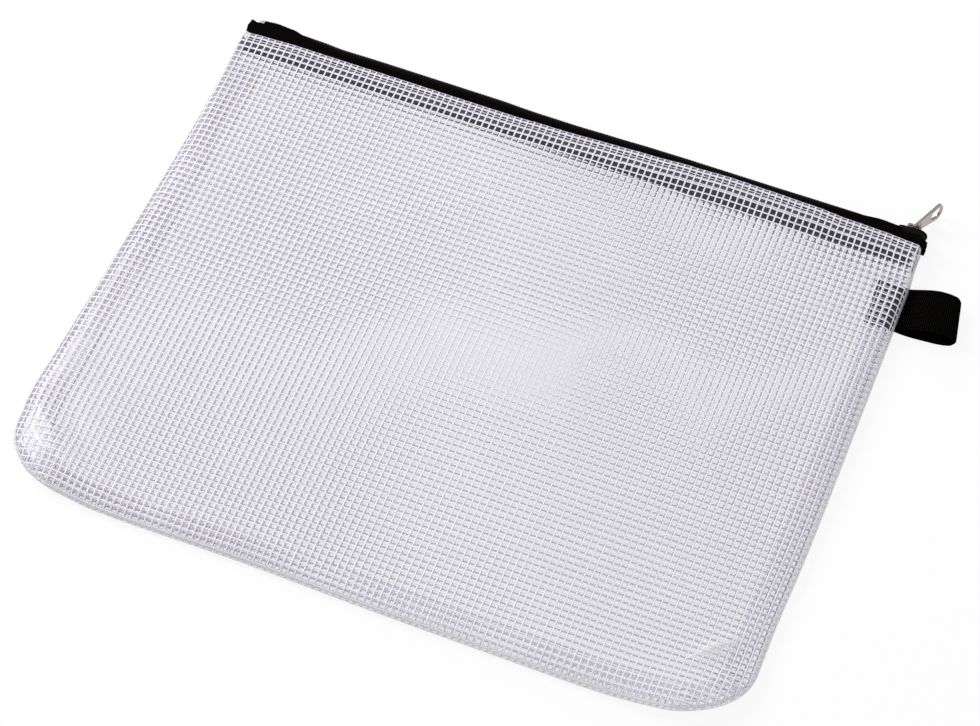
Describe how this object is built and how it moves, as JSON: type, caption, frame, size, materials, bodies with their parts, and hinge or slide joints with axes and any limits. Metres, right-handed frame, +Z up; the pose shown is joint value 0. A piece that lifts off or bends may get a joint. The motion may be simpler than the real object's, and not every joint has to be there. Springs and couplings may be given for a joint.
{
  "type": "zipper pouch",
  "caption": "Flat document pouch of clear film with a woven grid, closed along one long side by a coil zipper with a metal pull tab, and a ribbon loop in the side seam.",
  "frame": {"origin": "centre of the back panel's flat underside, halfway between the bottom edge and the mouth edge, and midway between the side edges at the mouth", "axes": "+X along the zipper to its closed end, +Y from the bottom edge to the mouth, +Z up through the pouch as it lies on its back"},
  "size_m": [0.3287, 0.2584, 0.0096],
  "materials": {
    "grid_film": "clear glossy film with a white woven grid inside it, 2.8 by 2.9 mm pitch",
    "tape_cloth": "black woven polyester tape",
    "nylon_coil": "black nylon coil, satin",
    "black_enamel": "black enamel on a cast slider",
    "nickel": "brushed warm grey nickel plate",
    "bright_metal": "bright pressed metal",
    "ribbon": "black ribbed ribbon",
    "sewing_thread": "white polyester thread"
  },
  "bodies": {
    "pouch": {"front_panel": "grid_film", "back_panel": "grid_film", "front_hem": "grid_film", "back_hem": "grid_film", "front_seam_allowance": "grid_film", "back_seam_allowance": "grid_film", "perimeter_thread": "sewing_thread", "front_hem_thread": "sewing_thread", "back_hem_thread": "sewing_thread", "front_zipper_tape": "tape_cloth", "back_zipper_tape": "tape_cloth", "front_coil": "nylon_coil", "back_coil": "nylon_coil", "front_top_stop": "bright_metal", "back_top_stop": "bright_metal", "bottom_stop": "bright_metal", "front_loop_tail": "ribbon", "back_loop_tail": "ribbon"},
    "slider": {"slider_body": "black_enamel", "slider_crown": "nickel"},
    "tab": {"pull_tab": "nickel"},
    "loop": {"ribbon_loop": "ribbon"}
  },
  "joints": [
    {"name": "slider_travel", "type": "slide", "parent": "pouch", "child": "slider", "axis": [-1, 0, 0], "range_m": [0, 0.275]},
    {"name": "pull_tab_swing", "type": "hinge", "parent": "slider", "child": "tab", "pos_m": [0.1424, 0.12561, 0.005], "axis": [0, 0, 1], "range_deg": [-64, 110]},
    {"name": "loop_flex", "type": "hinge", "parent": "pouch", "child": "loop", "pos_m": [0.15115, 0.087, 0.00225], "axis": [0, -1, 0], "range_deg": [-80, 80], "stiffness_Nm_per_rad": 0.005}
  ]
}
